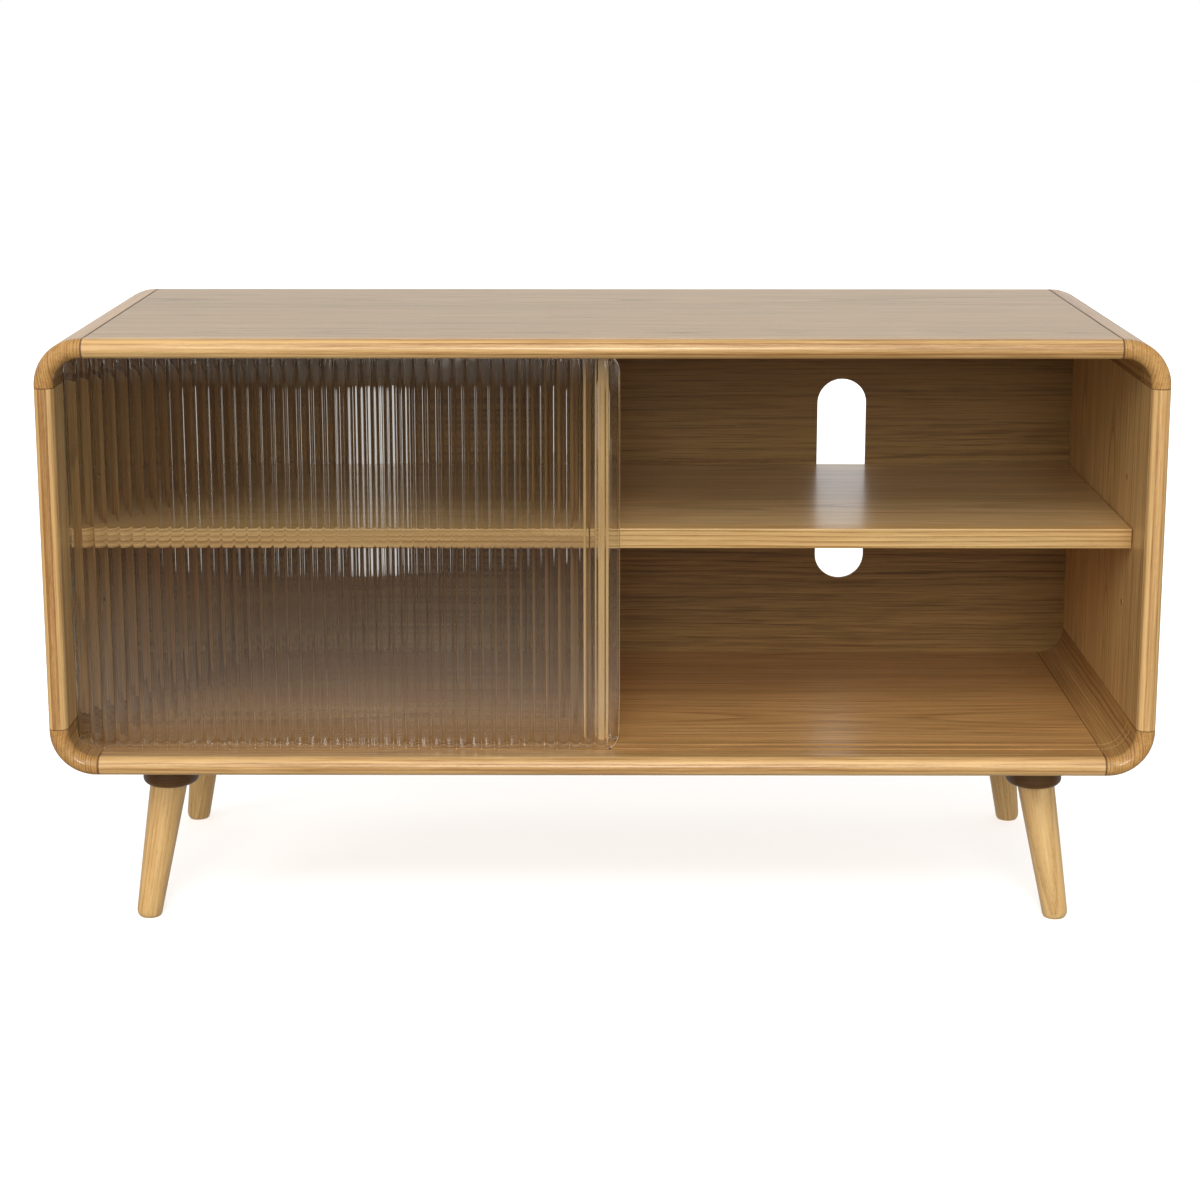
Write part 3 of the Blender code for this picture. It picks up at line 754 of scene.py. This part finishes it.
def slab_with_slots(name):
    """Back panel with eased slots, built from an outline and two openings."""
    curve = bpy.data.curves.new(name + "_outline", "CURVE")
    curve.dimensions = "2D"
    curve.fill_mode = "BOTH"
    curve.extrude = BACK_T / 2
    outlines = [rounded(-IN_X - RABBET, IN_Z0 - RABBET, IN_X + RABBET, IN_Z1 + RABBET,
                        FILLET_R + RABBET, 16)]
    for s in (-1, 1):
        outlines.append(rounded(s * slot_x - slot_w / 2, slot_z - slot_h / 2,
                                s * slot_x + slot_w / 2, slot_z + slot_h / 2,
                                slot_w / 2 - 0.00001, 24))
    for outline in outlines:
        spline = curve.splines.new("POLY")
        spline.points.add(len(outline) - 1)
        for point, (x, z) in zip(spline.points, outline):
            point.co = (x, z, 0.0, 1.0)
        spline.use_cyclic_u = True
    guide = bpy.data.objects.new(name + "_outline", curve)
    cabinet.objects.link(guide)
    guide.matrix_world = (Matrix.Translation((0, (BACK_Y + BACK_OUT) / 2, 0))
                          @ Matrix.Rotation(math.radians(90), 4, "X"))
    bpy.context.view_layer.update()
    graph = bpy.context.evaluated_depsgraph_get()
    mesh = bpy.data.meshes.new_from_object(guide.evaluated_get(graph))
    mesh.transform(guide.matrix_world)
    bpy.data.objects.remove(guide, do_unlink=True)
    bpy.data.curves.remove(curve)
    bm = bmesh.new()
    bm.from_mesh(mesh)
    bpy.data.meshes.remove(mesh)
    bmesh.ops.remove_doubles(bm, verts=bm.verts, dist=0.00001)
    bmesh.ops.dissolve_limit(bm, angle_limit=0.001, verts=bm.verts, edges=bm.edges)

    def slot_edge(a, b):
        level = abs(a.y - b.y) < 1e-6
        inside = all(abs(abs(p.x) - slot_x) < slot_w / 2 + 1e-4
                     and abs(p.z - slot_z) < slot_h / 2 + 1e-4 for p in (a, b))
        return level and inside
    bmesh.ops.recalc_face_normals(bm, faces=bm.faces)
    bevel(bm, slot_edge, 0.0008, 3)
    return link(name, mesh_from(name, bm))


back = slab_with_slots("back_panel_board")
screw_spots = [(sx * (IN_X + RABBET / 2), z) for sx in (-1, 1) for z in (0.305, 0.537)]
screw_spots += [(0.0, 0.305), (0.0, 0.537)]
cut(back, *[cutter_rod("screw_clearance", (x, BACK_Y - 0.014, z), (x, HY + 0.005, z), 0.0018, 16)
            for x, z in screw_spots])
finish(shade_flats(back), wood(
    "veneer_back", GRAIN_X, GRAIN_Z, BACK_L, BACK_D, 17.7, ring=0.0062, pith=(0, 0.012),
    slope=0.012, leaf=0.232, seam=0.21, ring_depth=0.5, wander=0.006, streak=0.5,
    fibre=1.9, centre=0.9, roughness=0.46, coat=0.06, specular=0.3),
    "back_panel")

for number, (x, z) in enumerate(screw_spots, 1):
    a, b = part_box("back_screw_%d" % number)
    screw = lathe("back_screw_%d_head" % number,
                  [(0.0, 0.0020), (0.0009, 0.00197), (0.0018, 0.00182), (0.0026, 0.0015),
                   (0.0031, 0.0011), (0.0034, 0.0005), (0.0034, 0.0), (0.0014, 0.0),
                   (0.0014, -0.0004)]
                  + [(0.0014 - 0.0003 * (i % 2), -0.0006 - 0.0007 * i) for i in range(20)]
                  + [(0.0011, -0.0150), (0.0, -0.0172)], 32)
    screw.matrix_world = along((x, BACK_OUT + GAP, z), (0, 1, 0))
    arms = []
    for angle in (0.3 * number, 0.3 * number + math.pi / 2):
        bm = box_bm((-0.0020, -0.00032, 0.0008), (0.0020, 0.00032, 0.0030))
        bmesh.ops.rotate(bm, matrix=Matrix.Rotation(angle, 3, "Z"), verts=bm.verts)
        arm = as_cutter(link("recess", mesh_from("recess", bm)))
        arm.matrix_world = screw.matrix_world.copy()
        arms.append(arm)
    cut(screw, *arms)
    finish(shade(screw, 35), mat_steel, "back_screw_%d" % number)

# ---------------------------------------------------- shelf pins, sleeves
for node in sorted(CAD):
    if not node.startswith("shelf_pin_"):
        continue
    a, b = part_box(node)
    inward = 1 if "left_outer" in node or "right_inner" in node else -1
    y, z = (a.y + b.y) / 2, (a.z + b.z) / 2
    reach = b.x - a.x
    x_tip = b.x if inward > 0 else a.x
    pin = lathe(node + "_turned",
                [(0.0, 0.0), (0.0017, 0.0), (0.0021, -0.00025), (0.0024, -0.0007),
                 (0.0024, -0.0068), (0.00215, -0.0070), (0.00215, -0.0076), (0.0024, -0.0078),
                 (0.0024, -reach + 0.0006), (0.0018, -reach + 0.0001), (0.0, -reach + 0.0001)], 32)
    pin.matrix_world = along((x_tip, y, z), (inward, 0, 0))
    finish(shade(pin, 35), mat_brass, node)

bm = bmesh.new()
for x_wall, inward in ((-IN_X, 1), (-DIV_X, -1), (DIV_X, 1), (IN_X, -1)):
    for y in (-0.117, 0.185):
        for row in (-1, 1):
            z = pin_z + row * PIN_ROW
            place = along((x_wall, y, z), (inward, 0, 0))
            profile = [(0.0017, 0.00015), (0.0019, 0.0004), (0.0023, 0.0005), (0.0033, 0.0005),
                       (0.0036, 0.00025), (0.0036, 0.00005), (0.00262, 0.00004),
                       (0.00262, -0.0055), (0.0017, -0.0055)]
            rings = [[bm.verts.new(place @ Vector((r * math.cos(2 * math.pi * i / 28),
                                                   r * math.sin(2 * math.pi * i / 28), h)))
                      for i in range(28)] for r, h in profile]
            for p, q in zip(rings, rings[1:] + rings[:1]):
                for i in range(28):
                    j = (i + 1) % 28
                    bm.faces.new((p[i], p[j], q[j], q[i]))
sleeves = link("pin_hole_sleeves", mesh_from("pin_hole_sleeves", bm))
finish(shade(sleeves, 35), mat_brass, body="carcass")

# ---------------------------------------------------------------- shelves
for sx, side in ((-1, "left"), (1, "right")):
    a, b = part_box("shelf_" + side)
    panel = board("shelf_%s_board" % side, a, b)
    grooves = []
    for node in CAD:
        if node.startswith("shelf_pin_" + side):
            p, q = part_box(node)
            y = (p.y + q.y) / 2
            grooves.append(cutter_box(
                "pin_groove", (p.x - 0.0015, y - 0.0028, a.z - 0.005),
                (q.x + 0.0015, y + 0.0028, (p.z + q.z) / 2 + 0.0027)))
    cut(panel, *grooves)
    finish(shade_flats(panel), wood(
        "veneer_shelf_" + side, GRAIN_X, GRAIN_Y, SHELF_L, SHELF_D, 19.0 + sx * 0.8, ring=0.0060,
        pith=(0, 0.02), slope=0.03, leaf=0.21, seam=-0.05, ring_depth=0.5, roughness=0.36,
        coat=0.4, coat_roughness=0.2), "shelf_" + side)
    a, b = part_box("shelf_%s_lipping" % side)
    strip_obj = board("shelf_%s_lipping_strip" % side, a, b, front_edges(a.y), 0.0011, 5)
    finish(shade_flats(strip_obj), wood(
        "ash_shelf_strip_" + side, GRAIN_X, GRAIN_Z, STRIP_L, STRIP_D, 21.5 + sx, ring=0.0058,
        pith=(a.z + 0.045, 0.004), depth=False, wander=0.002, streak=0.4, ring_depth=0.85,
        roughness=0.36, coat=0.3), "shelf_%s_lipping" % side)


# ------------------------------------------------------------ glass doors
def glass_door(name, low, high, phase, depth=0.00245, rim=0.0013):
    """Pane with upright convex reeds on its front, a flat rear face, rounded
    corners and a polished round edge. A reed is flat-topped, with steep
    flanks and a round valley. phase moves the reeds along, in reeds."""
    x0, x1, z0, z1 = low.x, high.x, low.z, high.z
    mid = (low.y + high.y) / 2
    half = (high.y - low.y) / 2
    pitch = (x1 - x0) / REEDS
    per = 24

    xs = {round(x0 + pitch * (r + i / per), 7) for r in range(REEDS) for i in range(per)}
    xs.add(round(x1, 7))
    for d in (0.00005, 0.0002, 0.00045, 0.0008):
        xs.add(round(x0 + d, 7))
        xs.add(round(x1 - d, 7))
    xs = sorted(xs)
    inset = [0.0, 0.00005, 0.0002, 0.00045, 0.0008, rim, 0.003]
    shares = [i / 10 for i in range(1, 10)]

    def edges_at(x):
        d = min(x - x0, x1 - x)
        if d >= DOOR_R:
            return z0, z1
        up = DOOR_R - math.sqrt(max(DOOR_R ** 2 - (DOOR_R - d) ** 2, 0.0))
        return z0 + up, z1 - up

    def inside(x, z):
        dx = max(x0 + DOOR_R - x, x - (x1 - DOOR_R), 0.0)
        dz = max(z0 + DOOR_R - z, z - (z1 - DOOR_R), 0.0)
        if dx > 0 and dz > 0:
            return DOOR_R - math.hypot(dx, dz)
        return min(x - x0, x1 - x, z - z0, z1 - z)

    def rounding(d):
        if d >= rim:
            return 0.0
        d = max(d, 0.0)
        return rim - math.sqrt(rim ** 2 - (rim - d) ** 2)

    power, valley = 3.05, 0.169
    flank = 0.5 - valley
    steep = power * flank ** (power - 1)
    total = flank ** power + steep * valley / 2

    def reed(x):
        u = abs(((x - x0) / pitch - phase) % 1.0 - 0.5)
        if u < flank:
            return depth * u ** power / total
        e = (u - flank) / valley
        return depth * (flank ** power + steep * valley * (e - e * e / 2)) / total

    bm = bmesh.new()
    fronts, rears = [], []
    for x in xs:
        a, b = edges_at(x)
        rows = [a + d for d in inset] + [a + inset[-1] + (b - a - 2 * inset[-1]) * s for s in shares]
        rows += [b - d for d in reversed(inset)]
        f, r = [], []
        for z in rows:
            d = inside(x, z)
            off = rounding(d)
            front = half - max(off, 0.0) - reed(x) * min(1.0, max(0.0, d / 0.0022))
            f.append(bm.verts.new((x, mid - front, z)))
            r.append(bm.verts.new((x, mid + half - off, z)))
        fronts.append(f)
        rears.append(r)
    for cols, flip in ((fronts, False), (rears, True)):
        for a, b in zip(cols, cols[1:]):
            for i in range(len(a) - 1):
                quad = (a[i], b[i], b[i + 1], a[i + 1])
                bm.faces.new(quad[::-1] if flip else quad)
    last = len(fronts[0]) - 1
    for i in range(len(xs) - 1):
        bm.faces.new((fronts[i + 1][0], fronts[i][0], rears[i][0], rears[i + 1][0]))
        bm.faces.new((fronts[i][last], fronts[i + 1][last], rears[i + 1][last], rears[i][last]))
    for i in range(last):
        bm.faces.new((fronts[0][i], fronts[0][i + 1], rears[0][i + 1], rears[0][i]))
        bm.faces.new((fronts[-1][i + 1], fronts[-1][i], rears[-1][i], rears[-1][i + 1]))
    bmesh.ops.remove_doubles(bm, verts=bm.verts, dist=1e-6)
    bm.normal_update()
    return link(name, mesh_from(name, bm))


for side, (a, b) in DOORS.items():
    pane = glass_door("glass_door_%s_pane" % side, a, b, {"front": 0.04, "rear": 0.64}[side])
    finish(shade(pane, 50), mat_glass, "glass_door_" + side)

# -------------------------------------------------------- legs and collars
LEG_FOOT = Vector((0.509, 0.167, 0.0))
LEG_HEAD = Vector((0.4857, 0.1437, Z0 - 0.032 - GAP))
LEG_LEN = (LEG_HEAD - LEG_FOOT).length
COLLAR_H, COLLAR_R = 0.032, 0.031


def leg_profile():
    slope = (0.0205 - 0.0138) / LEG_LEN
    over, end, round_r = 0.012, -0.0028, 0.0085
    points = [(0.0, LEG_LEN + over), (0.0205 + slope * over, LEG_LEN + over)]
    low_z = end + round_r
    for i in range(1, 9):
        z = LEG_LEN + over + (low_z - LEG_LEN - over) * i / 8
        points.append((0.0138 + slope * z, z))
    for i in range(1, 10):
        angle = math.radians(90 * i / 9)
        points.append((0.0138 - round_r + round_r * math.cos(angle),
                       end + round_r - round_r * math.sin(angle)))
    points.append((0.0, end))
    return points


def trim(obj, z, keep_above):
    """Cuts the object flat at a world height and closes it."""
    bm = bmesh.new()
    bm.from_mesh(obj.data)
    local = obj.matrix_world.inverted()
    point = local @ Vector((0, 0, z))
    normal = (local.to_3x3() @ Vector((0, 0, 1))).normalized()
    geom = bm.verts[:] + bm.edges[:] + bm.faces[:]
    out = bmesh.ops.bisect_plane(bm, geom=geom, plane_co=obj.matrix_world.inverted() @ Vector(
        (obj.matrix_world.translation.x, obj.matrix_world.translation.y, z)),
        plane_no=normal, clear_inner=keep_above, clear_outer=not keep_above, dist=1e-7)
    rim = [e for e in out["geom_cut"] if isinstance(e, bmesh.types.BMEdge)]
    bmesh.ops.contextual_create(bm, geom=rim)
    bmesh.ops.recalc_face_normals(bm, faces=bm.faces)
    bm.to_mesh(obj.data)
    bm.free()
    return obj


leg_number = 0
for sx, side in ((-1, "left"), (1, "right")):
    for sy, end in ((-1, "front"), (1, "rear")):
        leg_number += 1
        flip = Vector((sx, sy, 1.0))
        foot, head = LEG_FOOT * flip, LEG_HEAD * flip
        axis = (head - foot).normalized()
        name = "%s_%s" % (end, side)
        leg = lathe("leg_%s_turned" % name, leg_profile(), 64)
        leg.matrix_world = along(foot, axis)
        bpy.context.view_layer.update()
        trim(leg, 0.0, True)
        trim(leg, head.z, False)
        hole = cutter_rod("bolt_hole", head - axis * 0.024, head + axis * 0.020, 0.0042)
        cut(leg, hole)
        turned = leg.matrix_world.copy()
        leg.data.transform(turned)
        leg.matrix_world = Matrix.Identity(4)
        finish(shade(leg, 40), wood(
            "ash_leg_" + name, GRAIN_Z, 0, LEG_L, LEG_D, 24.0 + leg_number * 1.3, ring=0.0048,
            pith=(-0.034, 0.020), depth=True, wander=0.0035, streak=0.45, patch=0.55,
            pores=0.5, roughness=0.38, coat=0.25, turned=turned), "leg_" + name)

        centre = head + axis * (COLLAR_H / 2 / axis.z)
        collar = lathe("leg_collar_%s_turned" % name,
                       [(0.0, COLLAR_H - GAP), (COLLAR_R - 0.0006, COLLAR_H - GAP),
                        (COLLAR_R, COLLAR_H - GAP - 0.0006)]
                       + [(COLLAR_R - 0.007 + 0.007 * math.cos(math.radians(a)),
                           0.007 - 0.007 * math.sin(math.radians(a)))
                          for a in [90 * i / 10 for i in range(11)]] + [(0.0, 0.0)], 80)
        collar.location = (centre.x, centre.y, Z0 - COLLAR_H)
        bpy.context.view_layer.update()
        hole = cutter_rod("insert_hole", head - axis * 0.010, head + axis * 0.0215, 0.0063)
        cut(collar, hole)
        # Painted shade: the collar's ash is darkened to stand for the shadow under the carcass.
        finish(shade(collar, 40), wood(
            "ash_collar_painted_shade_" + name, GRAIN_X, 2, COLLAR_PAINTED_SHADE_L, COLLAR_PAINTED_SHADE_D, 33.0 + leg_number * 0.9,
            ring=0.0042, pith=(-0.05, 0.03), depth=True, wander=0.003, roughness=0.38),
            "leg_collar_" + name)

# ------------------------------------------------- CAD pieces that stay
mat_plain = wood("tongue_wood", GRAIN_Y, 0, (0.62, 0.46, 0.28), (0.42, 0.28, 0.15), 41.0,
                 ring=0.004, depth=True, coat=0.0, roughness=0.62)
for node, obj in CAD.items():
    if node.startswith("tongue_"):
        mat = mat_plain
    elif node.startswith("hanger_bolt_"):
        mat = mat_steel
    elif node.startswith("threaded_insert_"):
        mat = mat_brass
    else:
        continue
    if obj.material_slots:
        for slot in obj.material_slots:
            slot.material = mat
    else:
        obj.data.materials.append(mat)

for obj in cutter_objects:
    mesh = obj.data
    bpy.data.objects.remove(obj, do_unlink=True)
    if mesh.users == 0:
        bpy.data.meshes.remove(mesh)

# ------------------------------------------------------------------ floor
bm = bmesh.new()
corners = [(-14.0, -1.55), (14.0, -1.55), (14.0, 26.0), (-14.0, 26.0)]
bm.faces.new([bm.verts.new((x, y, 0.0)) for x, y in corners])
floor = bpy.data.objects.new("studio_floor", mesh_from("studio_floor", bm))
scene.collection.objects.link(floor)
n = Nodes("pale_floor")
x, y, z = n.object_axes()
cloud = n.noise(n.xyz(n.mul(x, 3.0), n.mul(y, 3.0), 0.0), 3.0)
n.put(n.shader.inputs["Base Color"], n.mix(cloud, (0.90, 0.90, 0.90), (0.92, 0.92, 0.915)))
n.shader.inputs["Roughness"].default_value = 0.85
n.shader.inputs["Specular IOR Level"].default_value = 0.15
floor.data.materials.append(n.mat)

# ------------------------------------------------------------------ light
# The room is white to the eye. What it sheds on the cabinet is dimmer below,
# and bright low down behind, which gives the top its sheen. In front it is
# dark to reflections, as in a studio, apart from a pale floor that shows in
# the foot of the glass.
world = bpy.data.worlds.new("studio")
scene.world = world
world.use_nodes = True
tree = world.node_tree
tree.nodes.clear()


def world_node(kind, *values, **props):
    node = tree.nodes.new(kind)
    for key, value in props.items():
        setattr(node, key, value)
    for socket, value in zip(node.inputs, values):
        if isinstance(value, bpy.types.NodeSocket):
            tree.links.new(value, socket)
        elif value is not None:
            socket.default_value = value
    return node.outputs[0]


coords = tree.nodes.new("ShaderNodeTexCoord")
split = tree.nodes.new("ShaderNodeSeparateXYZ")
tree.links.new(coords.outputs["Generated"], split.inputs[0])


def step(value, *numbers):
    return world_node("ShaderNodeMapRange", value, *numbers, interpolation_type="SMOOTHSTEP")


sky = step(split.outputs[2], -0.12, 0.12, BELOW, ABOVE)
low_band = world_node("ShaderNodeMath", step(split.outputs[2], 0.18, 0.45, 1.0, 0.0),
                      step(split.outputs[2], -0.06, 0.0, 0.0, 1.0), operation="MULTIPLY")
rear = step(split.outputs[1], 0.10, 0.70, 0.0, REAR)
glow = world_node("ShaderNodeMath", low_band, rear, operation="MULTIPLY")
total = world_node("ShaderNodeMath", sky, glow, operation="ADD")
path = tree.nodes.new("ShaderNodeLightPath")
dim = step(split.outputs[1], -0.05, 0.35, DIM, 1.0)
bent = world_node("ShaderNodeMath", path.outputs["Is Glossy Ray"],
                  path.outputs["Is Transmission Ray"], operation="MAXIMUM")
gloss = world_node("ShaderNodeMapRange", bent, 0.0, 1.0, 1.0, dim)
shed = world_node("ShaderNodeMath", total, gloss, operation="MULTIPLY")
behind = world_node("ShaderNodeMath", path.outputs["Is Transmission Ray"],
                    step(split.outputs[1], 0.0, 0.35, 0.0, THROUGH), operation="MULTIPLY")
shed = world_node("ShaderNodeMath", shed, behind, operation="ADD")
veil = world_node("ShaderNodeMath", step(split.outputs[2], -0.32, -0.20, VEIL, 0.0),
                  step(split.outputs[1], -0.2, 0.0, 1.0, 0.0), operation="MULTIPLY")
veil = world_node("ShaderNodeMath", veil, path.outputs["Is Transmission Ray"],
                  operation="MULTIPLY")
fill = world_node("ShaderNodeBackground", (1.0, 0.99, 0.975, 1.0), shed)
foot_glow = world_node("ShaderNodeBackground", (1.0, 0.97, 0.89, 1.0), veil)
fill = world_node("ShaderNodeAddShader", fill, foot_glow)
seen = world_node("ShaderNodeBackground", (1.0, 1.0, 1.0, 1.0), 1.0)
choice = world_node("ShaderNodeMixShader", path.outputs["Is Camera Ray"], fill, seen)
out = tree.nodes.new("ShaderNodeOutputWorld")
tree.links.new(choice, out.inputs[0])


def sun(name, direction, strength, angle, colour=(1, 1, 1)):
    data = bpy.data.lights.new(name, "SUN")
    data.energy = strength
    data.angle = math.radians(angle)
    data.color = colour
    obj = bpy.data.objects.new(name, data)
    scene.collection.objects.link(obj)
    obj.rotation_euler = Vector(direction).to_track_quat("-Z", "Y").to_euler()
    return obj


sun("low_softbox", (0.0, 0.946, -0.326), LOW_KEY, 30, (1.0, 0.985, 0.965))
sun("high_softbox", (0.0, 0.643, -0.766), HIGH_KEY, 24, (1.0, 0.985, 0.965))
sun("left_softbox", (0.694, 0.583, -0.423), SIDE_FILL, 24, (1.0, 0.985, 0.965))
edge = sun("edge_softbox", (0.0, 1.0, -0.10), EDGE, 8, (1.0, 0.97, 0.92))
edge.data.diffuse_factor = 0.0
edge.data.transmission_factor = 0.0
rounded_pieces = bpy.data.collections.new("rounded_pieces")
for piece in cabinet.objects:
    if piece.name.startswith(("lipping_", "corner_")):
        rounded_pieces.objects.link(piece)
edge.light_linking.receiver_collection = rounded_pieces

# A lamp for the floor alone keeps it white and its shadows soft.
floor_lamp = sun("floor_light", (0.0, 0.0, -1.0), FLOOR, 10)
lit = bpy.data.collections.new("lit_by_floor_light")
lit.objects.link(floor)
floor_lamp.light_linking.receiver_collection = lit
stoppers = bpy.data.collections.new("blocks_floor_light")
stoppers.objects.link(floor)
floor_lamp.light_linking.blocker_collection = stoppers
floor.visible_diffuse = False
floor.visible_glossy = False
floor.visible_transmission = False

# ----------------------------------------------------------------- camera
camera = bpy.data.cameras.new("camera")
cam = bpy.data.objects.new("camera", camera)
scene.collection.objects.link(cam)
cam.location = (0.0076, -2.7444, 1.0145)
cam.rotation_euler = (math.pi / 2 - 0.1974, 0.0, 0.0038)
camera.sensor_width = 36.0
camera.lens = 2426.45 / 1200 * 36
camera.shift_y = -0.10
camera.clip_end = 200.0
camera.dof.use_dof = False
scene.camera = cam
scene.view_settings.view_transform = "Standard"
scene.view_settings.look = "None"
scene.view_settings.exposure = 0.0
scene.view_settings.gamma = 1.0
scene.cycles.max_bounces = 16
scene.cycles.caustics_refractive = False
scene.cycles.caustics_reflective = False
scene.cycles.transmission_bounces = 14
scene.cycles.transparent_max_bounces = 12
scene.cycles.glossy_bounces = 6
scene.cycles.diffuse_bounces = 5

bpy.context.view_layer.update()
